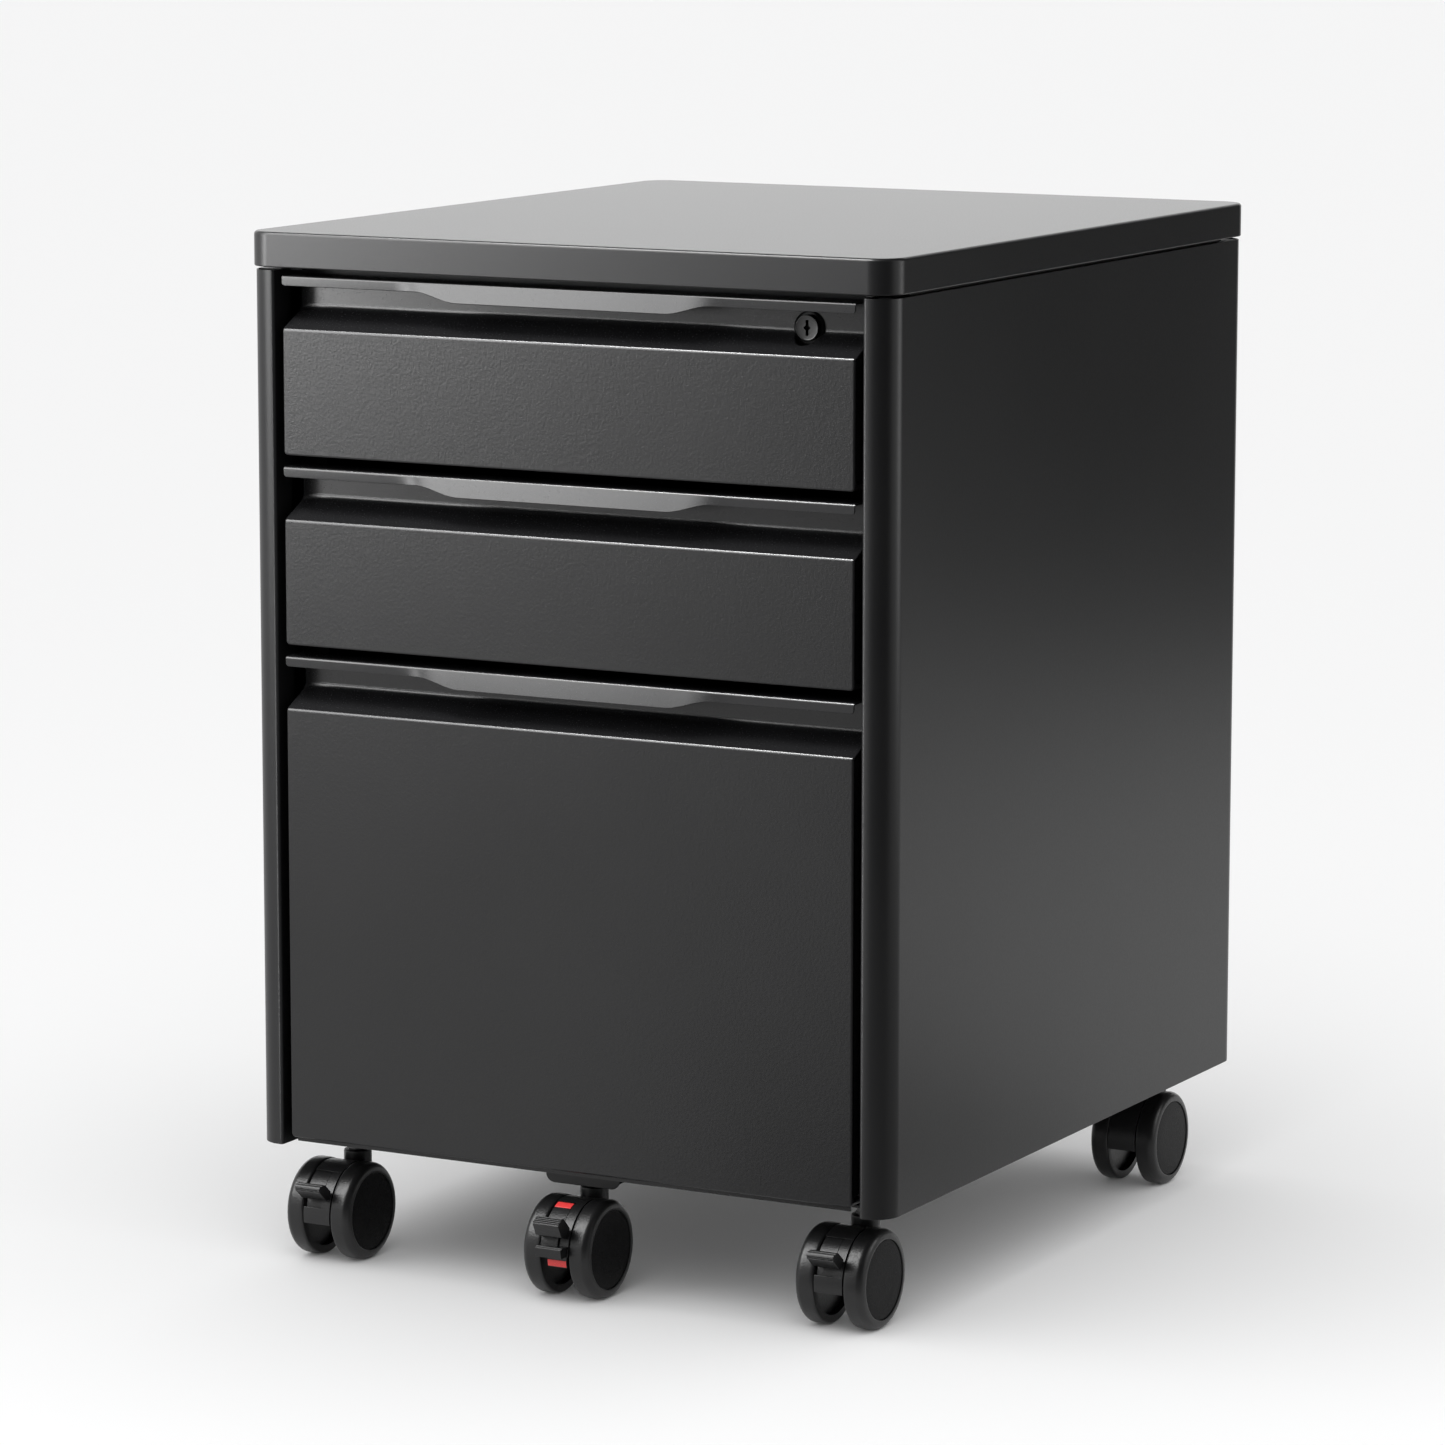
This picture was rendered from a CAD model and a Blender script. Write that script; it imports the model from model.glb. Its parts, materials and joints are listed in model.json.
"""Looks of a black mobile filing cabinet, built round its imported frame.

Shapes are drawn in the frame's own millimetres and scaled to metres when a piece is made.
Outlines are (x, y), (x, z), (y, z) or (forwards, up) pairs. The fronts face -Y, and an inset
goes towards +Y. The studio is placed in metres.
"""
import json
import math

import bmesh
import bpy
from mathutils import Matrix, Vector


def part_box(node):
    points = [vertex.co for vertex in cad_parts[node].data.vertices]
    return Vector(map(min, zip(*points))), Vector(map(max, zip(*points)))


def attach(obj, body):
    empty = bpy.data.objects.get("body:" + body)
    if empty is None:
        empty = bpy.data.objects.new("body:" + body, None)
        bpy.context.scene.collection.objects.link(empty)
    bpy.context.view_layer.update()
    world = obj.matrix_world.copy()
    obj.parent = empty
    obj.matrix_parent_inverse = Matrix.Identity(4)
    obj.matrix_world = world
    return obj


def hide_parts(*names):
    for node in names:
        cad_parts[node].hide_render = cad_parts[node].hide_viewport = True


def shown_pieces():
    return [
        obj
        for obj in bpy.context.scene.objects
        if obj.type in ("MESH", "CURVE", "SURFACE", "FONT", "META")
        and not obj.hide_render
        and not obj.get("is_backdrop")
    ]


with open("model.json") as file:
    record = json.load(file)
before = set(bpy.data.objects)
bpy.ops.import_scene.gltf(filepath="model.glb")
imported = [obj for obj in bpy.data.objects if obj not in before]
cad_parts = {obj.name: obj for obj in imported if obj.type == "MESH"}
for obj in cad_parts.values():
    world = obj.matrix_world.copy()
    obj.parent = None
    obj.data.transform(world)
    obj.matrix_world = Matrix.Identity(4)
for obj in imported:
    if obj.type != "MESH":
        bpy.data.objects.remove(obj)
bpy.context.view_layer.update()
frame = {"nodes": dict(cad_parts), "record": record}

MM = 0.001


def link(obj):
    """Adds an object to the scene."""
    bpy.context.scene.collection.objects.link(obj)
    return obj


def mm_box(node):
    """A frame node's lowest and highest corner, in millimetres."""
    lo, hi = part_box(node)
    return lo / MM, hi / MM


SHELL_LO, SHELL_HI = mm_box("outer_shell")
CAP_LO, CAP_HI = mm_box("top_cap")
FRONT_Y = SHELL_LO.y
HALF_W = SHELL_HI.x
CORNER_R = 14.5
SHEET = 1.0
POST_W = 17.5
POST_RETURN = 18.0
FLANGE_W = 25.0
CAP_SHEET = 1.2
FRONT_INSET = 1.4
DRAWERS = ("top", "middle", "file")
CASTERS = ("front_left", "front_right", "centre", "rear_left", "rear_right")
BRAKED = ("front_left", "front_right", "centre")


# Materials -----------------------------------------------------------------------------

NOISE_RANGE = (0.3, 0.7)


def plain_material(name, color, roughness, metallic=0.0, specular=0.5):
    """An even material."""
    material = bpy.data.materials.new(name)
    material.use_nodes = True
    inputs = material.node_tree.nodes["Principled BSDF"].inputs
    inputs["Base Color"].default_value = (*color, 1)
    inputs["Roughness"].default_value = roughness
    inputs["Metallic"].default_value = metallic
    inputs["Specular IOR Level"].default_value = specular
    return material


def textured_material(name, color, roughness, metallic=0.0, specular=0.5):
    """A material, its node tree and shader, and the coordinates that its noise follows."""
    material = plain_material(name, color, roughness, metallic, specular)
    tree = material.node_tree
    place = tree.nodes.new("ShaderNodeTexCoord").outputs["Object"]
    return material, tree, tree.nodes["Principled BSDF"], place


def noise(tree, place, scale, detail, stretch=None):
    """A noise value between 0 and 1; stretch scales the coordinates first."""
    if stretch:
        mapping = tree.nodes.new("ShaderNodeMapping")
        mapping.inputs["Scale"].default_value = stretch
        tree.links.new(place, mapping.inputs["Vector"])
        place = mapping.outputs["Vector"]
    node = tree.nodes.new("ShaderNodeTexNoise")
    node.inputs["Scale"].default_value = scale
    node.inputs["Detail"].default_value = detail
    tree.links.new(place, node.inputs["Vector"])
    return node.outputs["Fac"]


def spread(tree, value, low, high):
    """Maps a noise value onto a range."""
    node = tree.nodes.new("ShaderNodeMapRange")
    node.inputs["From Min"].default_value, node.inputs["From Max"].default_value = NOISE_RANGE
    node.inputs["To Min"].default_value = low
    node.inputs["To Max"].default_value = high
    tree.links.new(value, node.inputs["Value"])
    return node.outputs["Result"]


def tint(tree, shader, value, low, high):
    """Varies the base colour between two shades."""
    node = tree.nodes.new("ShaderNodeValToRGB")
    for stop, position, color in zip(node.color_ramp.elements, NOISE_RANGE, (low, high)):
        stop.position = position
        stop.color = (*color, 1)
    tree.links.new(value, node.inputs["Fac"])
    tree.links.new(node.outputs["Color"], shader.inputs["Base Color"])


def bump(tree, shader, heights):
    """Chains bumps of (height value, depth in metres, strength) onto the shader."""
    normal = None
    for height, depth, strength in heights:
        node = tree.nodes.new("ShaderNodeBump")
        node.inputs["Distance"].default_value = depth
        node.inputs["Strength"].default_value = strength
        tree.links.new(height, node.inputs["Height"])
        if normal:
            tree.links.new(normal, node.inputs["Normal"])
        normal = node.outputs["Normal"]
    tree.links.new(normal, shader.inputs["Normal"])


def powder_coat(name, grain, roughness, specular=0.5):
    """Satin black powder coat: fine grain, faint orange peel and slight variation."""
    black, darker, lighter = (0.005, 0.005, 0.0054), (0.0042, 0.0042, 0.0046), (0.0058, 0.0058, 0.0062)
    material, tree, shader, place = textured_material(name, black, roughness, specular=specular)
    fine = noise(tree, place, 1100, 4)
    peel = noise(tree, place, 600, 2)
    cloud = noise(tree, place, 9, 3)
    tint(tree, shader, cloud, darker, lighter)
    tree.links.new(spread(tree, fine, roughness - 0.03, roughness + 0.03), shader.inputs["Roughness"])
    bump(tree, shader, [(peel, 0.00016, grain), (fine, 0.00006, grain)])
    return material


def plated_steel(name, color, roughness):
    """Zinc or nickel plate with streaks drawn from front to back and a mottled shade."""
    material, tree, shader, place = textured_material(name, color, roughness, metallic=1.0)
    streaks = noise(tree, place, 900, 3, stretch=(1, 0.03, 1))
    mottle = noise(tree, place, 90, 4)
    tint(tree, shader, mottle, tuple(c * 0.86 for c in color), tuple(min(1, c * 1.08) for c in color))
    tree.links.new(spread(tree, mottle, roughness - 0.06, roughness + 0.08), shader.inputs["Roughness"])
    bump(tree, shader, [(streaks, 0.00003, 0.3)])
    return material


def moulded_plastic(name, color, roughness, texture, specular=0.5):
    """Satin moulded nylon with a fine spark-eroded texture."""
    material, tree, shader, place = textured_material(name, color, roughness, specular=specular)
    spark = noise(tree, place, 900, 3)
    flow = noise(tree, place, 60, 2)
    tint(tree, shader, flow, tuple(c * 0.88 for c in color), tuple(c * 1.12 for c in color))
    tree.links.new(spread(tree, spark, roughness - 0.05, roughness + 0.05), shader.inputs["Roughness"])
    bump(tree, shader, [(spark, 0.0002, texture)])
    return material


def red_print(name):
    """Printed red with slightly uneven cover."""
    material, tree, shader, place = textured_material(name, (0.58, 0.035, 0.035), 0.4)
    cover = noise(tree, place, 1500, 3)
    tint(tree, shader, cover, (0.5, 0.03, 0.03), (0.66, 0.045, 0.045))
    bump(tree, shader, [(cover, 0.00002, 0.3)])
    return material


FRONT_PAINT = powder_coat("front_powder_coat", 0.7, 0.36, 0.45)
RECESS_PAINT = powder_coat("recess_powder_coat", 0.04, 0.25, 0.45)
BODY_PAINT = powder_coat("body_powder_coat", 0.14, 0.36, 0.36)
INNER_PAINT = powder_coat("inner_powder_coat", 0.2, 0.5)
ZINC = plated_steel("zinc_plated_steel", (0.45, 0.455, 0.46), 0.34)
DARK_STEEL = plated_steel("black_zinc_steel", (0.1, 0.1, 0.1), 0.38)
LOCK_METAL = plated_steel("black_nickel", (0.05, 0.05, 0.05), 0.3)
LOCK_BLACK = moulded_plastic("lock_black", (0.003, 0.003, 0.003), 0.3, 0.2, 0.3)
HOOD_PLASTIC = moulded_plastic("caster_nylon", (0.007, 0.007, 0.0073), 0.33, 0.6, 0.42)
WHEEL_PLASTIC = moulded_plastic("wheel_nylon", (0.006, 0.006, 0.0063), 0.33, 0.6, 0.42)
DISC_PLASTIC = moulded_plastic("disc_nylon", (0.003, 0.003, 0.0032), 0.3, 0.25, 0.06)
RED = red_print("red_print")
SLOT_MATERIALS = {
    "black_paint": BODY_PAINT, "inner_paint": INNER_PAINT, "zinc_steel": ZINC, "lock_metal": LOCK_METAL,
    "caster_plastic": HOOD_PLASTIC, "wheel_plastic": WHEEL_PLASTIC, "red_mark": RED,
}


# Mesh helpers --------------------------------------------------------------------------

ROUND_STEPS = 96
SMALL_ROUND_STEPS = 64
HIDDEN_ROUND_STEPS = 48
CORNER_STEPS = 14


def skin(bm, rings):
    """A closed skin through rings of equal length, with a face over each end."""
    loops = [[bm.verts.new(p) for p in ring] for ring in rings]
    count = len(loops[0])
    for a, b in zip(loops, loops[1:]):
        for i in range(count):
            j = (i + 1) % count
            bm.faces.new((a[i], a[j], b[j], b[i]))
    bm.faces.new(list(reversed(loops[0])))
    bm.faces.new(loops[-1])


def prism(bm, outline, lo, hi, axis="z"):
    """An outline drawn out along one axis: z takes (x, y), y takes (x, z), x takes (y, z)."""
    place = {"z": lambda p, v: (p[0], p[1], v), "y": lambda p, v: (p[0], v, p[1]),
             "x": lambda p, v: (v, p[0], p[1])}[axis]
    skin(bm, [[place(p, v) for p in outline] for v in (lo, hi)])


def block(bm, lo, hi):
    """A box between two corners."""
    prism(bm, [(lo[0], lo[1]), (hi[0], lo[1]), (hi[0], hi[1]), (lo[0], hi[1])], lo[2], hi[2])


def lathe(bm, profile, steps, matrix):
    """Turns a profile of (radius, height) about +Z; radius 0 at an end closes it on the axis."""
    turns = [2 * math.pi * k / steps for k in range(steps)]
    rings = []
    for radius, height in profile:
        places = [(radius * math.cos(a), radius * math.sin(a), height) for a in (turns if radius else [0])]
        rings.append([bm.verts.new(matrix @ Vector(p)) for p in places])
    for a, b in zip(rings, rings[1:]):
        for i in range(steps):
            j = (i + 1) % steps
            corners = [a[i % len(a)], a[j % len(a)], b[j % len(b)], b[i % len(b)]]
            bm.faces.new(list(dict.fromkeys(corners)))
    return bm


def closed_lathe(bm, profile, steps, matrix):
    """Turns a profile whose end is joined to its start."""
    lathe(bm, profile + profile[:1], steps, matrix)
    bmesh.ops.remove_doubles(bm, verts=bm.verts, dist=1e-4)


def sideways(place, sign=1):
    """Turns a shape drawn upwards so that it points right, or left with sign -1."""
    return Matrix.Translation(place) @ Matrix.Rotation(math.radians(sign * 90), 4, "Y")


def fillet(points, radii, steps):
    """A line through points with each inner corner rounded to its radius."""
    out = [Vector(points[0])]
    for before, corner, after, radius in zip(points, points[1:], points[2:], radii):
        corner = Vector(corner)
        back = (Vector(before) - corner).normalized()
        on = (Vector(after) - corner).normalized()
        half = back.angle(on) / 2
        centre = corner + (back + on).normalized() * (radius / math.sin(half))
        start = (corner + back * (radius / math.tan(half)) - centre).normalized()
        end = (corner + on * (radius / math.tan(half)) - centre).normalized()
        out += [centre + start.slerp(end, k / steps) * radius for k in range(steps + 1)]
    return out + [Vector(points[-1])]


def thicken(line, thickness):
    """A closed outline: the line, and the line moved to its left, or right if negative."""
    other = []
    for i, p in enumerate(line):
        before = (p - line[i - 1]).normalized() if i else None
        after = (line[i + 1] - p).normalized() if i + 1 < len(line) else None
        along = ((before or after) + (after or before)).normalized()
        cosine = along.dot(before or after)
        other.append(p + Vector((-along.y, along.x)) * (thickness / cosine))
    return list(line) + other[::-1]


def quarter(steps):
    """The angles of a quarter turn, in equal steps."""
    return [math.radians(90 * k / steps) for k in range(steps + 1)]


def plan(grow):
    """The body's plan outline with its round corners, larger all round by grow."""
    radius = CORNER_R + grow
    right, back, front = HALF_W - CORNER_R, SHELL_HI.y - CORNER_R, SHELL_LO.y + CORNER_R
    points = []
    for k, (cx, cy) in enumerate(((right, back), (-right, back), (-right, front), (right, front))):
        points += [(cx + radius * math.cos(a + k * math.pi / 2), cy + radius * math.sin(a + k * math.pi / 2))
                   for a in quarter(CORNER_STEPS)]
    return points


def mesh_object(name, bm):
    """An object in the scene from a mesh drawn in millimetres."""
    bmesh.ops.recalc_face_normals(bm, faces=bm.faces)
    bmesh.ops.scale(bm, vec=(MM, MM, MM), verts=bm.verts)
    mesh = bpy.data.meshes.new(name)
    bm.to_mesh(mesh)
    bm.free()
    return link(bpy.data.objects.new(name, mesh))


def piece(name, bm, material, body, replaced=(), bevel=0.0, cutter=None):
    """Makes a piece from a mesh drawn in millimetres, and has it ride on its body."""
    obj = mesh_object(name, bm)
    if cutter:
        cut(obj, cutter)
    obj.data.materials.append(material)
    obj.data.shade_smooth()
    finish_edges(obj, bevel)
    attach(obj, body)
    if replaced:
        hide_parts(*replaced)


def cut(obj, cutter):
    """Cuts a mesh drawn in millimetres out of a piece, and keeps the result as its mesh."""
    tool = mesh_object("cutter", cutter)
    boolean = obj.modifiers.new("cut", "BOOLEAN")
    boolean.operation = "DIFFERENCE"
    boolean.solver = "EXACT"
    boolean.object = tool
    bpy.context.view_layer.update()
    evaluated = obj.evaluated_get(bpy.context.evaluated_depsgraph_get())
    obj.data = bpy.data.meshes.new_from_object(evaluated)
    obj.modifiers.clear()
    bpy.data.objects.remove(tool)


def round_edges(obj, width, angle):
    """Adds a bevel, with its width in millimetres, along edges that turn by more than an angle."""
    rounding = obj.modifiers.new("rounding", "BEVEL")
    rounding.width = width * MM
    rounding.segments = 2
    rounding.limit_method = "ANGLE"
    rounding.angle_limit = math.radians(angle)
    return rounding


def finish_edges(obj, bevel):
    """Rounds sharp edges and keeps the flat faces flat."""
    if bevel:
        round_edges(obj, bevel, 40).harden_normals = True
    else:
        obj.data.set_sharp_from_angle(angle=math.radians(50))
    weight = obj.modifiers.new("flat_faces", "WEIGHTED_NORMAL")
    weight.keep_sharp = True


# Body ----------------------------------------------------------------------------------

def make_cap():
    """The top: a shallow tray upside down with a rolled top edge and a hemmed lower edge."""
    edge, roll = 0.8, 1.9
    low, high = CAP_LO.z, CAP_HI.z
    over = CAP_HI.x - HALF_W
    inside = over - CAP_SHEET
    rings = [(inside, high - CAP_SHEET), (inside, low + 0.2), (inside + 0.1, low)]
    rings += [(over - edge * (1 - math.sin(a)), low + edge * (1 - math.cos(a))) for a in quarter(4)]
    rings += [(over - roll * (1 - math.cos(a)), high - roll * (1 - math.sin(a))) for a in quarter(8)]
    bm = bmesh.new()
    skin(bm, [[(x, y, z) for x, y in plan(grow)] for grow, z in rings])
    piece("cap_shell", bm, BODY_PAINT, "cabinet", ["top_cap"])


def make_shell():
    """Sides, back and front posts from one sheet, and the flange under the cap."""
    gap = HALF_W - POST_W
    back = SHELL_HI.y
    half_line = fillet([(gap, FRONT_Y + POST_RETURN), (gap, FRONT_Y), (HALF_W, FRONT_Y), (HALF_W, back),
                        (0, back)], [2.0, CORNER_R, CORNER_R], 12)
    line = half_line[:-1] + [Vector((-p.x, p.y)) for p in reversed(half_line[:-1])]
    bm = bmesh.new()
    prism(bm, thicken(line, SHEET), SHELL_LO.z, SHELL_HI.z)
    flange_hi = SHELL_HI.z - 0.1
    flange_lo = flange_hi - SHEET
    inner, clear, widening = HALF_W - SHEET, 12, FRONT_Y + POST_RETURN + 1
    for side in (-1, 1):
        x0, x1 = sorted((side * inner, side * (HALF_W - FLANGE_W)))
        block(bm, (x0, widening, flange_lo), (x1, back - SHEET - clear, flange_hi))
        x0, x1 = sorted((side * (gap + SHEET), side * inner))
        block(bm, (x0, FRONT_Y + clear, flange_lo), (x1, widening, flange_hi))
    across = HALF_W - FLANGE_W
    block(bm, (-across, back - FLANGE_W, flange_lo), (across, back - SHEET, flange_hi))
    piece("body_shell", bm, BODY_PAINT, "cabinet", ["outer_shell"], bevel=0.28)


# Drawer fronts -------------------------------------------------------------------------

SLOPE_H = 10.6
RECESS_H = 30.5
LIP_H = 5.5
GRIP_H = 10.9
GRIP_HALF = 66.0
GRIP_RUN = 29.0
GRIP_FLARE = 2.6
HEM = 8.0
END_ROLL = 1.2
PANEL_CORNER = 2.6
LIP_CORNER = 1.8
BEND_STEPS = 6
JOIN_DROP = 1.2
STRIP_H = 2.7


def ramp(x, run=GRIP_RUN):
    """1 on the full grip, 0 on the plain lip, and a soft S between them."""
    t = min(1.0, max(0.0, (GRIP_HALF + run - abs(x)) / run))
    return t * t * (3 - 2 * t)


def end_rise(x, half, radius):
    """How far a round corner has risen at x, near the end of a width."""
    into = abs(x) - (half - radius)
    return radius - math.sqrt(max(0.0, radius ** 2 - into ** 2)) if into > 0 else 0.0


def front_line(x, half, bottom, lip, y0, y1):
    """The folded sheet's visible face at one x, from the panel's foot to the lip's edge."""
    panel_top = lip - RECESS_H
    foot = bottom + end_rise(x, half, PANEL_CORNER)
    back = end_rise(x, half, END_ROLL)
    full = ramp(x)
    drop = LIP_H + (GRIP_H - LIP_H) * full - end_rise(x, half, LIP_CORNER)
    lean = GRIP_FLARE * ramp(x, GRIP_RUN * 1.5)
    inside = y0 + SHEET
    corners = [(y1 - 1.5, foot), (y0 + back, foot), (y0 + back, panel_top), (y1, panel_top + SLOPE_H),
               (y1, lip - SHEET), (inside, lip - SHEET), (inside - lean, lip - drop)]
    return fillet(corners, [1.3, 1.9, 5.0, 1.2, 0.5], BEND_STEPS)


def rounded_edge(line):
    """The line thickened into a sheet, with its far edge rounded."""
    outline = thicken(line, -SHEET)
    near, far = outline[len(line) - 1], outline[len(line)]
    middle, across = (near + far) / 2, (near - far) / 2
    along = (line[-1] - line[-2]).normalized() * 0.4
    turns = [math.pi * k / 6 for k in range(1, 6)]
    edge = [middle + across * math.cos(a) + along * math.sin(a) for a in turns]
    return outline[:len(line)] + edge + outline[len(line):]


def stations(half):
    """The x places of the front's sections, close together where its shape changes."""
    fade = [GRIP_HALF + GRIP_RUN * k / 24 for k in range(37)]
    corner = [half - PANEL_CORNER * 1.2 * (1 - math.sin(math.radians(9 * k))) for k in range(11)]
    plain = [0, 35, 115, 140, half - 6]
    right = sorted(set(plain + fade + corner))
    return [-x for x in reversed(right) if x] + right


def make_front(name):
    """A drawer front: the panel with its side hems, and the sloped recess with its lip and grip."""
    lo, hi = mm_box(name + "_front")
    half, lip = hi.x, hi.z
    y0, y1 = FRONT_Y + FRONT_INSET, hi.y - SHEET
    strip = STRIP_H if name == "file" else 0.0
    bottom = lo.z + strip
    foot = BEND_STEPS + 2
    panel_rings, recess_rings = [], []
    for x in stations(half):
        line = front_line(x, half, bottom, lip, y0, y1)
        join = Vector((line[foot].x, lip - RECESS_H - JOIN_DROP))
        panel_rings.append([(x, y, z) for y, z in thicken(line[:foot] + [join], -SHEET)])
        recess_rings.append([(x, y, z) for y, z in rounded_edge([join] + line[foot:])])
    bm = bmesh.new()
    skin(bm, panel_rings)
    for side in (-1, 1):
        x0, x1 = sorted((side * half, side * (half - SHEET)))
        block(bm, (x0, y0 + END_ROLL, bottom + 6), (x1, y0 + HEM, lip - RECESS_H - 0.6))
    if strip:
        strip_half, strip_y = half - 2.4, y0 + 3.5
        block(bm, (-strip_half, strip_y, bottom - strip), (strip_half, strip_y + SHEET, bottom + 0.5))
    piece(name + "_panel", bm, FRONT_PAINT, name + "_drawer", [name + "_front"])
    bm = bmesh.new()
    skin(bm, recess_rings)
    cutter = lock_hole(y0 + 2, y1 - 0.05) if name == "top" else None
    piece(name + "_recess", bm, RECESS_PAINT, name + "_drawer", cutter=cutter)


def lock_hole(y0, y1):
    """A cutter from y0 to y1 that lets the lock's ring through with a little room."""
    lo, hi = mm_box("lock_housing")
    place = Matrix.Translation(((lo.x + hi.x) / 2, y0, (lo.z + hi.z) / 2))
    radius, depth = (hi.x - lo.x) / 2 + 0.3, y1 - y0
    return lathe(bmesh.new(), [(0, 0), (radius, 0), (radius, depth), (0, depth)], SMALL_ROUND_STEPS,
                 place @ Matrix.Rotation(math.radians(-90), 4, "X"))


# Lock ----------------------------------------------------------------------------------

def face_on(centre, y):
    """Turns a shape drawn upwards so that it faces forwards, with its height 0 at y."""
    return Matrix.Translation((centre[0], y, centre[1])) @ Matrix.Rotation(math.radians(90), 4, "X")


def make_lock():
    """The ring with a thin raised rim, and the raised face with its keyway."""
    ring_lo, ring_hi = mm_box("lock_housing")
    face_lo, face_hi = mm_box("lock_plug")
    centre = ((ring_lo.x + ring_hi.x) / 2, (ring_lo.z + ring_hi.z) / 2)
    ring_r, face_r = (ring_hi.x - ring_lo.x) / 2, (face_hi.x - face_lo.x) / 2
    core_r, barrel_r = 6.05, 8.5
    rim, seat, under = 1.6, 0.3, 0.05
    end = rim - (ring_hi.y - ring_lo.y)
    bm = bmesh.new()
    closed_lathe(bm, [
        (core_r, end), (core_r, seat), (ring_r - 0.75, seat), (ring_r - 0.6, rim - 0.15),
        (ring_r - 0.35, rim), (ring_r - 0.15, rim - 0.1), (ring_r, rim - 0.4), (ring_r, under),
        (barrel_r, under), (barrel_r, end)], ROUND_STEPS, face_on(centre, ring_lo.y + rim))
    piece("lock_ring", bm, LOCK_BLACK, "top_drawer", ["lock_housing"])

    place = face_on(centre, ring_lo.y)
    proud, back = ring_lo.y - face_lo.y, seat + under - rim
    bm = lathe(bmesh.new(), [
        (0, back), (face_r - 0.3, back), (face_r - 0.3, proud - 1), (face_r, proud - 0.75),
        (face_r - 0.1, proud - 0.2), (face_r - 0.4, proud), (face_r - 0.7, proud),
        (face_r - 1.0, proud - 0.25), (0, proud - 0.25)], ROUND_STEPS, place)
    core, core_end = core_r - 0.05, ring_lo.y - face_hi.y
    lathe(bm, [(0, core_end), (core, core_end), (core, back + 0.3), (0, back + 0.3)],
          SMALL_ROUND_STEPS, place)
    half_slot, slot_top, diamond = 0.9, 4.3, 2.3
    right = [(half_slot, -slot_top), (half_slot, half_slot - diamond), (diamond, 0),
             (half_slot, diamond - half_slot), (half_slot, slot_top)]
    keyway = [(centre[0] + x, centre[1] + z) for x, z in right + [(-x, -z) for x, z in right]]
    cutter = bmesh.new()
    prism(cutter, keyway, face_lo.y - 1, face_lo.y + 12, "y")
    piece("lock_face", bm, LOCK_METAL, "lock", ["lock_plug"], cutter=cutter)


# Bracket -------------------------------------------------------------------------------

def make_bracket():
    """The tongue under the file drawer, its shelf for the caster and the shelf's sides."""
    lo, hi = mm_box("caster_bracket")
    half, wide = hi.x, hi.x + 7
    shoulder, plate, shelf, cheek = lo.z + 9.7, 1.5, 2.5, 2
    outline = fillet([(-wide, hi.z), (-wide, shoulder), (-half, shoulder), (-half, lo.z), (half, lo.z),
                      (half, shoulder), (wide, shoulder), (wide, hi.z)], [0.3, 4, 5.5, 5.5, 4, 0.3], 8)
    bm = bmesh.new()
    prism(bm, outline, lo.y, lo.y + plate, "y")
    side = half - 7
    block(bm, (-side, lo.y + 0.2, lo.z), (side, hi.y, lo.z + shelf))
    for x in (-side, side - cheek):
        block(bm, (x, lo.y + 0.2, lo.z), (x + cheek, hi.y, hi.z))
    piece("bracket_tongue", bm, BODY_PAINT, "file_drawer", ["caster_bracket"], bevel=0.35)


# Casters -------------------------------------------------------------------------------

HOOD_R = 28.0
HOOD_T = 2.2
HOOD_LOW = -4.3
SLOT_RIGHT = 2.8
SLOT_FLOOR = 23.6
HOOD_HALF = 8.8
TRAIL = 18.5
NECK_R = 8.2
NECK_BORE = 4.05
LEVER_LEFT = -8.4
LEVER_RIGHT = 2.45
TAB_HALF = 8.3
ARM_T = 1.8
DISC_SHARE = 0.79


def polar(radius, degrees):
    """A (forwards, up) point from its radius and its angle above level."""
    a = math.radians(degrees)
    return radius * math.cos(a), radius * math.sin(a)


def band(r0, r1, a0, a1):
    """An arc-shaped outline as (forwards, up), between two angles above level."""
    count = max(1, round(abs(a1 - a0) / 3))
    angles = [a0 + (a1 - a0) * k / count for k in range(count + 1)]
    return [polar(r1, a) for a in angles] + [polar(r0, a) for a in reversed(angles)]


def forward(axle, outline):
    """Moves a (forwards, up) outline to its place round an axle, as (y, z)."""
    return [(axle.y - f, axle.z + u) for f, u in outline]


def axle_of(name):
    """The middle of a caster's axle."""
    lo, hi = mm_box(name + "_axle")
    return (lo + hi) / 2


def slot_end(name):
    """The angle at which the hood's slot for the brake lever ends."""
    return 73.5 if name == "centre" else 61.0


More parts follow.
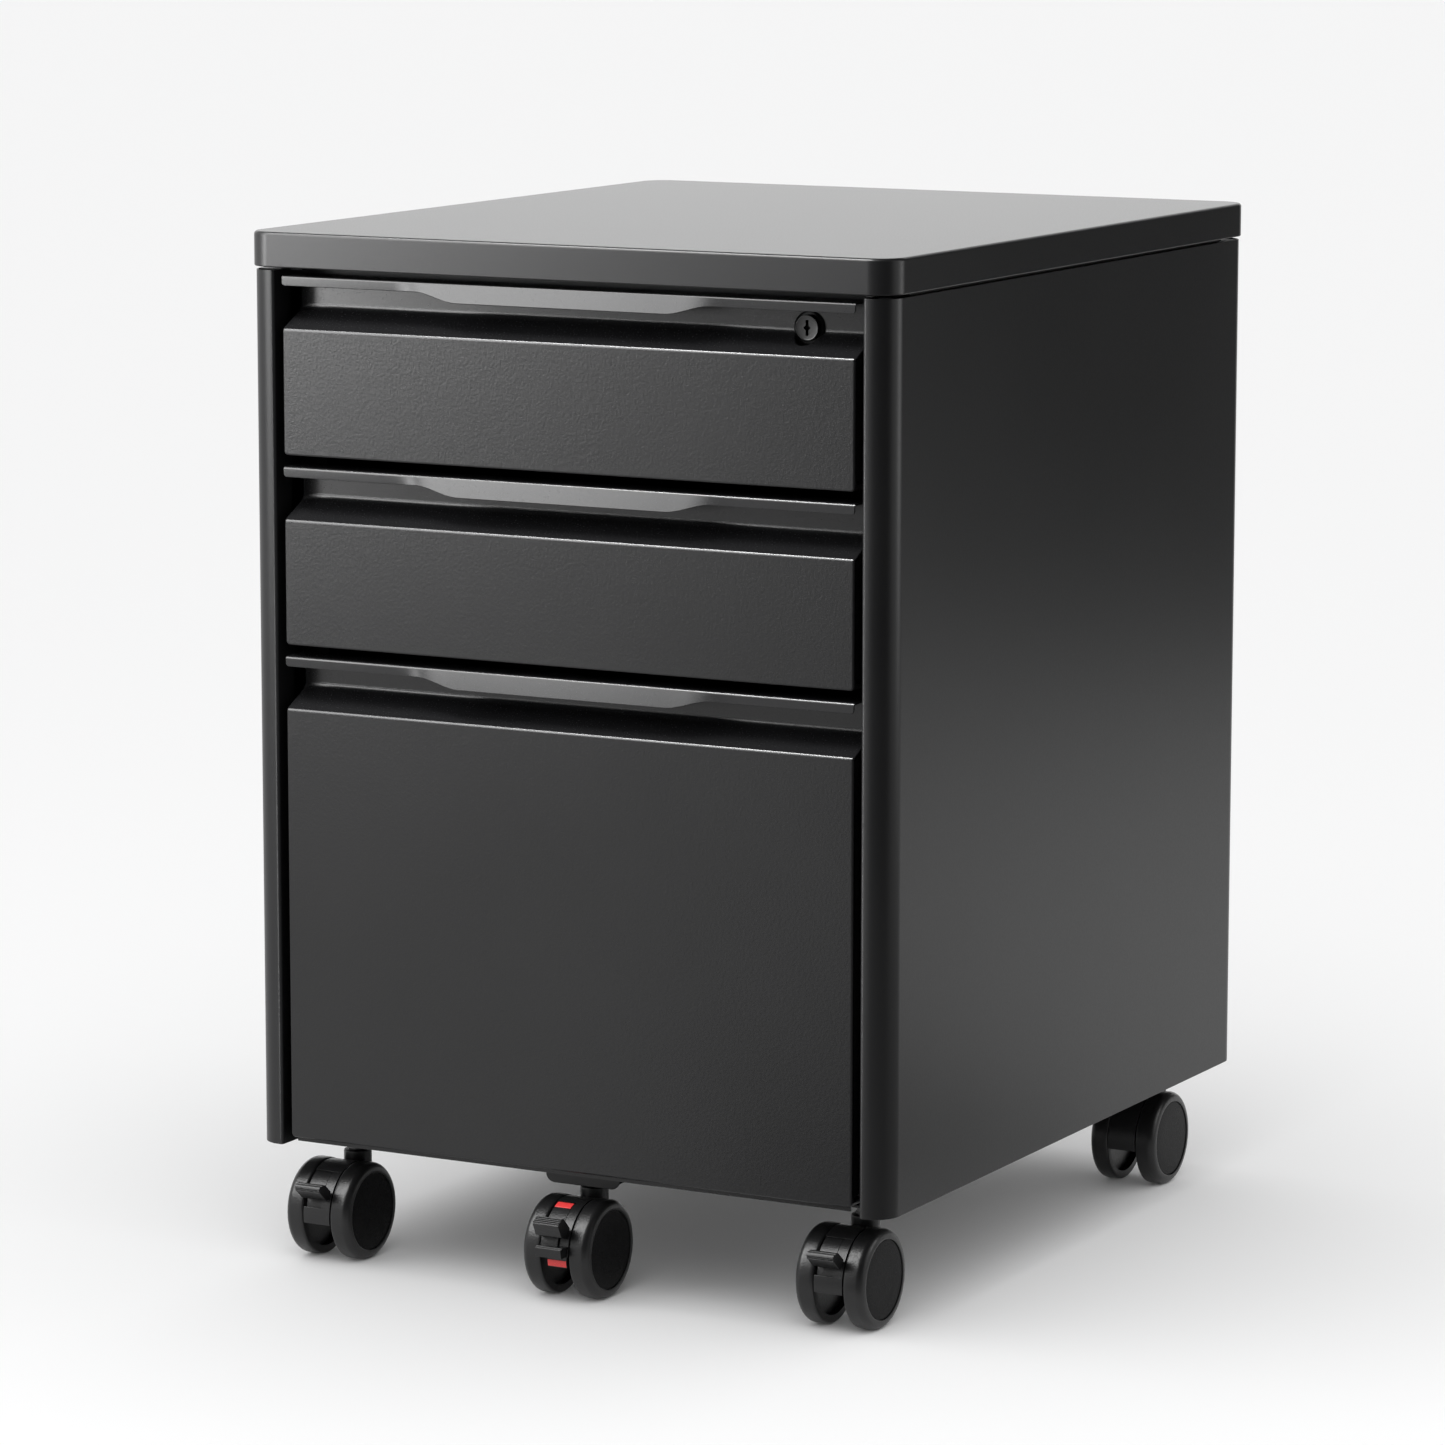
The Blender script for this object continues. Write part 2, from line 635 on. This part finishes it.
def make_hood(name):
    """The guard between the wheels: an arched skirt, its webs, ribs and boss, and the stem's neck."""
    axle = axle_of(name)
    braked, centre = name in BRAKED, name == "centre"
    low_angle = math.degrees(math.asin(HOOD_LOW / HOOD_R))
    back_angle = 180 - low_angle
    inner = HOOD_R - HOOD_T
    slot_from, slot_to = -25.0 if centre else 11.0, slot_end(name)
    bm = bmesh.new()

    def arch(a0, a1, x0, x1, r0=inner, r1=HOOD_R):
        prism(bm, forward(axle, band(r0, r1, a0, a1)), axle.x + x0, axle.x + x1, "x")

    if braked:
        arch(slot_to, back_angle, -HOOD_HALF, HOOD_HALF)
        arch(0.5 if centre else slot_from, slot_to, SLOT_RIGHT, HOOD_HALF)
        if not centre:
            arch(low_angle, slot_from, -HOOD_HALF, HOOD_HALF)
        arch(max(slot_from, low_angle), slot_to + 3, -2.4, SLOT_RIGHT + 1, SLOT_FLOOR - 2, SLOT_FLOOR - 0.2)
    else:
        arch(low_angle, back_angle, -HOOD_HALF, HOOD_HALF)
    web_from, web_inner, web_outer = slot_to if braked else 15, 4, inner + 0.5
    for x, thick in ((0, 2.4), (-5.2, 1.2), (5.2, 1.2)):
        if x >= 0 or not braked:
            arch(web_from, back_angle, x - thick / 2, x + thick / 2, web_inner, web_outer)
    for degrees in (-4, 8):
        arch(degrees, degrees + 2.4, -2.2, 2.2, 6, SLOT_FLOOR - 1 if braked else web_outer)
    left = -3.9 if braked else -HOOD_HALF
    bore, boss = 3, 6.5
    closed_lathe(bm, [(bore, left), (boss, left), (boss, HOOD_HALF), (bore, HOOD_HALF)],
                 HIDDEN_ROUND_STEPS, sideways(axle))
    top = mm_box(name + "_hood")[1].z - axle.z
    closed_lathe(bm, [(NECK_BORE, 2), (NECK_R, 2), (NECK_R, top - 1), (NECK_R - 0.25, top - 0.3),
                      (NECK_R - 1, top), (NECK_BORE, top)], SMALL_ROUND_STEPS,
                 Matrix.Translation(axle + Vector((0, TRAIL, 0))))
    piece(name + "_guard", bm, HOOD_PLASTIC, name + "_swivel", [name + "_hood"], bevel=0.3)


def ridged(start, end, count, depth):
    """Points from start to end with round ridges standing out to the line's right."""
    start, end = Vector(start), Vector(end)
    along = (end - start) / count
    out = Vector((along.y, -along.x)).normalized()
    points = []
    for k in range(count):
        for t, h in ((0.08, 0), (0.25, 0.8), (0.5, 1), (0.75, 0.8), (0.92, 0)):
            points.append(tuple(start + along * (k + t) + out * (depth * h)))
    return points


def make_brake(name):
    """The brake lever: plate in the hood's slot, side arm, eye and ridged finger tabs."""
    axle = axle_of(name)
    reach = axle.y - mm_box(name + "_brake")[0].y
    centre = name == "centre"
    low = 0.0 if centre else 23.0
    inner, outer = SLOT_FLOOR + 0.4, HOOD_R - 0.3
    bm = bmesh.new()

    def across(outline, x0=LEVER_LEFT, x1=LEVER_RIGHT):
        prism(bm, forward(axle, outline), axle.x + x0, axle.x + x1, "x")

    across(band(inner, outer, low - 1, slot_end(name) - 1))
    across(band(SLOT_FLOOR + 1, HOOD_R + 1.4, low, 31))
    across(band(5.2, SLOT_FLOOR + 1, low + 3, 52), LEVER_LEFT, LEVER_LEFT + ARM_T)
    if centre:
        upper = [(27.6, 10.6), (34.4, 13), (reach, 20.2)]
        upper += ridged((reach - 0.5, 20.7), (32.4, 23.2), 4, 0.9) + [(31.2, 23.2), (24.6, 16.6)]
        lower = [(27.4, 0.6), (34.6, 0.4), (reach - 2.6, 4.4)]
        lower += ridged((reach - 2.4, 5.2), (32.6, 6.5), 2, 0.6) + [(27.4, 6.2)]
        across(upper, -TAB_HALF, TAB_HALF)
        across(lower, -TAB_HALF, TAB_HALF)
        across(band(inner, outer, -13.5, 0), -4.6, 7.8)
    else:
        upper = [(27.2, 11), (30.2, 11.3), (36.2, 16.4)]
        upper += ridged((36.6, 16.8), (reach - 0.45, 19.6), 3, 0.7)
        upper += ridged((reach - 0.8, 20.1), (32.2, 20.7), 2, 0.6) + [(31.0, 20.5), (25, 15.6)]
        across(upper, -TAB_HALF, TAB_HALF)
        across(band(inner, HOOD_R - HOOD_T - 0.3, 10, low))
    bore, eye = 3.05, 5.8
    closed_lathe(bm, [(bore, 0), (eye, 0), (eye, ARM_T), (bore, ARM_T)], HIDDEN_ROUND_STEPS,
                 sideways(axle + Vector((LEVER_LEFT, 0, 0))))
    piece(name + "_lever", bm, HOOD_PLASTIC, name + "_brake_lever", [name + "_brake"],
          bevel=0.25)


def wheel_profile(radius, width):
    """The wheel from its bore outwards, as (radius, height): recess, tread, rim and disc seat."""
    disc = DISC_SHARE * radius
    bore, bore_end = 3.05, 8.7
    hub, hollow, depth = 7.5, radius - 5, 4.0
    inner, shoulder, crown = 1.3, 4.6, 4.2
    face = radius - inner - 0.2
    points = [(0, bore_end), (bore, bore_end), (bore, 0), (hub, 0), (hub, depth), (hollow, depth),
              (hollow, 0), (face, 0)]
    for degrees in range(15, 91, 15):
        c, s = polar(1, degrees)
        points.append((face + inner * s, inner - inner * c))
    points += [(radius, 2.6), (radius, width - shoulder)]
    for degrees in range(12, 85, 9):
        c, s = polar(1, degrees)
        points.append((radius - crown * (1 - c), width - shoulder + (shoulder - 0.15) * s))
    points += [(radius - shoulder, width - 0.02), (disc + 0.75, width), (disc + 0.35, width - 0.2),
               (disc + 0.22, width - 1.2), (0, width - 1.2)]
    return points


def disc_profile(radius, width):
    """The flat cover in the wheel's outer face, as (radius, height)."""
    disc = DISC_SHARE * radius
    return [(0, width - 1.25), (disc - 0.05, width - 1.25), (disc - 0.1, width - 0.8),
            (disc - 0.5, width - 0.55), (disc * 0.6, width - 0.5), (0, width - 0.48)]


def make_wheels(name):
    """Both wheels of a caster, with a shut-off recess inside and an inset disc outside."""
    axle = axle_of(name)
    for side, sign in (("left", -1), ("right", 1)):
        node, body = f"{name}_wheel_{side}", f"{name}_{side}_wheel"
        lo, hi = mm_box(node)
        matrix = sideways((hi.x if sign < 0 else lo.x, axle.y, axle.z), sign)
        radius, width = (hi.z - lo.z) / 2, hi.x - lo.x
        tread = lathe(bmesh.new(), wheel_profile(radius, width), ROUND_STEPS, matrix)
        piece(f"{name}_tread_{side}", tread, WHEEL_PLASTIC, body, [node])
        disc = lathe(bmesh.new(), disc_profile(radius, width), ROUND_STEPS, matrix)
        piece(f"{name}_disc_{side}", disc, DISC_PLASTIC, body)


# What the frame shows itself -----------------------------------------------------------

DARK_NODES = ("caster_nuts", "corner_stems", "centre_stem", "centre_nut")


def dress_frame():
    """Rounds the edges of the frame's own parts and gives them their materials."""
    slots = {s["node"]: s["material_slot"] for s in frame["record"]["subparts"]}
    for name, node in frame["nodes"].items():
        if node.hide_render:
            continue
        node.data.materials.clear()
        node.data.materials.append(DARK_STEEL if name in DARK_NODES else SLOT_MATERIALS[slots[name]])
        weld = node.modifiers.new("weld", "WELD")
        weld.merge_threshold = 1e-6
        round_edges(node, 0.15, 50)


# Studio --------------------------------------------------------------------------------

BLACK = (0.002, 0.002, 0.002)


def stage_plane(name, corners, color):
    """A flat, matt part of the studio."""
    mesh = bpy.data.meshes.new(name)
    mesh.from_pydata(corners, [], [range(len(corners))])
    mesh.materials.append(plain_material(name, color, 0.9, specular=0.1))
    obj = link(bpy.data.objects.new(name, mesh))
    obj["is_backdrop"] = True
    return obj


def level(half, y0, y1, z):
    """The corners of a level rectangle."""
    return [(-half, y0, z), (half, y0, z), (half, y1, z), (-half, y1, z)]


def on_circle(azimuth, distance, height):
    """A place round the cabinet; azimuth 0 is in front of it and 90 is on its right."""
    a = math.radians(azimuth)
    return Vector((distance * math.sin(a), -distance * math.cos(a), height))


def hide_from_light(card):
    """Leaves a card visible in reflections only."""
    for ray in ("camera", "diffuse", "shadow", "transmission"):
        setattr(card, "visible_" + ray, False)


def flag(name, azimuth, distance, width, low, high):
    """An upright black card that only shows in reflections."""
    middle, along = on_circle(azimuth, distance, 0), on_circle(azimuth + 90, width / 2, 0)
    foot, head = Vector((0, 0, low)), Vector((0, 0, high))
    corners = [middle - along + foot, middle + along + foot, middle + along + head, middle - along + head]
    hide_from_light(stage_plane(name, corners, BLACK))


def lamp(name, light, place, target):
    """Adds a light at a place, facing its target."""
    obj = link(bpy.data.objects.new(name, light))
    obj.location = place
    obj.rotation_euler = (target - place).to_track_quat("-Z", "Y").to_euler()
    return obj


def area_light(name, place, target, size, power):
    """A rectangular softbox."""
    light = bpy.data.lights.new(name, "AREA")
    light.shape = "RECTANGLE"
    light.size, light.size_y = size
    light.energy = power
    return lamp(name, light, place, target)


def spot_light(name, place, target, angle, power):
    """A soft-edged spotlight."""
    light = bpy.data.lights.new(name, "SPOT")
    light.spot_size = math.radians(angle)
    light.spot_blend = 1.0
    light.shadow_soft_size = 0.3
    light.energy = power
    return lamp(name, light, place, target)


def shine_on(name, receivers, lights):
    """Has lights fall on the given objects only, and returns the collection that holds these."""
    group = bpy.data.collections.new(name + "_only")
    for obj in receivers:
        group.objects.link(obj)
    for light in lights:
        light.light_linking.receiver_collection = group
    return group


def make_room():
    """A pale floor and world, and a soft sun. Returns the floor."""
    reach = 60.0
    floor = stage_plane("floor", level(reach, -reach, reach, 0), (0.9, 0.9, 0.902))
    world = bpy.data.worlds.new("studio")
    world.use_nodes = True
    background = world.node_tree.nodes["Background"]
    background.inputs["Color"].default_value = (1, 1, 1, 1)
    background.inputs["Strength"].default_value = 0.92
    world.cycles.sampling_method = "NONE"
    bpy.context.scene.world = world
    sun = bpy.data.lights.new("soft_sun", "SUN")
    sun.energy = 0.36
    sun.angle = math.radians(50)
    sun.specular_factor = 0.3
    lamp("soft_sun", sun, on_circle(-40, 1.2, 2.2), Vector((0, 0, 0)))
    return floor


def make_lights(floor):
    """Lights that each fall on the cabinet, on some of its pieces or on the floor only.

    The cabinet casts no shadow in the floor's fill.
    """
    cap, shell = bpy.data.objects["cap_shell"], bpy.data.objects["body_shell"]
    recesses = [bpy.data.objects[drawer + "_recess"] for drawer in DRAWERS]
    shine_on("cabinet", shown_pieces(), [
        area_light("key", on_circle(-38, 1.4, 1.35), Vector((0, -0.2, 0.5)), (0.9, 1.3), 36),
        spot_light("corner_spot", on_circle(-40, 1.9, 0.62), Vector((-0.27, -0.23, 0.69)), 24, 66),
        area_light("rim", on_circle(110, 1.1, 0.46), Vector((0.2, -0.2, 0.5)), (0.26, 0.4), 1.2),
        area_light("back", on_circle(208, 3.0, 1.25), Vector((0, 0, 0.6)), (4.0, 1.7), 22)])
    shine_on("edges", recesses + [cap], [
        area_light("edge_strip", on_circle(-30, 1.05, 2.05), Vector((0, -0.2, 0.4)), (1.1, 0.16), 58)])
    shine_on("cap", [cap], [
        area_light("cap_light", on_circle(-46, 1.9, 0.6), Vector((-0.25, -0.23, 0.59)), (0.3, 0.2), 9)])
    shine_on("shell", [shell], [
        area_light("post_light", Vector((-0.2, -0.62, 0.3)), Vector((0.19, -0.23, 0.3)), (0.04, 0.7), 2.8)])
    floor_only = shine_on("floor", [floor], [
        area_light("wash", on_circle(20, 1.9, 1.7), on_circle(20, 0.8, 0), (1.6, 1.6), 13)])
    fill = area_light("floor_fill", Vector((0.05, 0.05, 1.2)), Vector((0.05, 0.06, 0)), (0.8, 0.8), 0.8)
    shine_on("fill", [floor], [fill])
    fill.light_linking.blocker_collection = floor_only


def make_cards():
    """Cards round, over and at the foot of the cabinet, which only show in reflections."""
    flag("flag_front", 31, 1.25, 2.4, 0.05, 2.5)
    near, far, above_floor = 0.42, 2.6, 0.003
    azimuths = (-8, 60, 130)
    ends = [on_circle(azimuth, near, above_floor) for azimuth in azimuths]
    ends += [on_circle(azimuth, far, above_floor) for azimuth in reversed(azimuths)]
    hide_from_light(stage_plane("floor_card", ends, (0.35, 0.35, 0.35)))
    flag("flag_back", 141, 1.5, 1.2, 0.12, 2.6)
    hide_from_light(stage_plane("flag_over", level(2.6, -2.4, 3, 2.4), BLACK))


def make_camera():
    """The viewpoint: 28 degrees round to the right, 9 degrees up, on a long lens."""
    azimuth, elevation, roll = math.radians(28.23), math.radians(9.18), math.radians(0.04)
    ahead = Vector((-math.sin(azimuth) * math.cos(elevation), math.cos(azimuth) * math.cos(elevation),
                    -math.sin(elevation)))
    data = bpy.data.cameras.new("camera")
    data.lens = 148.04
    data.sensor_width = 36
    data.clip_end = 200
    camera = link(bpy.data.objects.new("camera", data))
    camera.location = (1.63065, -3.07729, 0.86291)
    camera.rotation_mode = "QUATERNION"
    camera.rotation_quaternion = (ahead.to_track_quat("-Z", "Y")
                                  @ Matrix.Rotation(roll, 4, "Z").to_quaternion())
    bpy.context.scene.camera = camera


make_cap()
make_shell()
for drawer in DRAWERS:
    make_front(drawer)
make_lock()
make_bracket()
for caster in CASTERS:
    make_hood(caster)
    make_wheels(caster)
for caster in BRAKED:
    make_brake(caster)
dress_frame()
make_lights(make_room())
make_cards()
make_camera()
bpy.context.scene.view_settings.view_transform = "Standard"
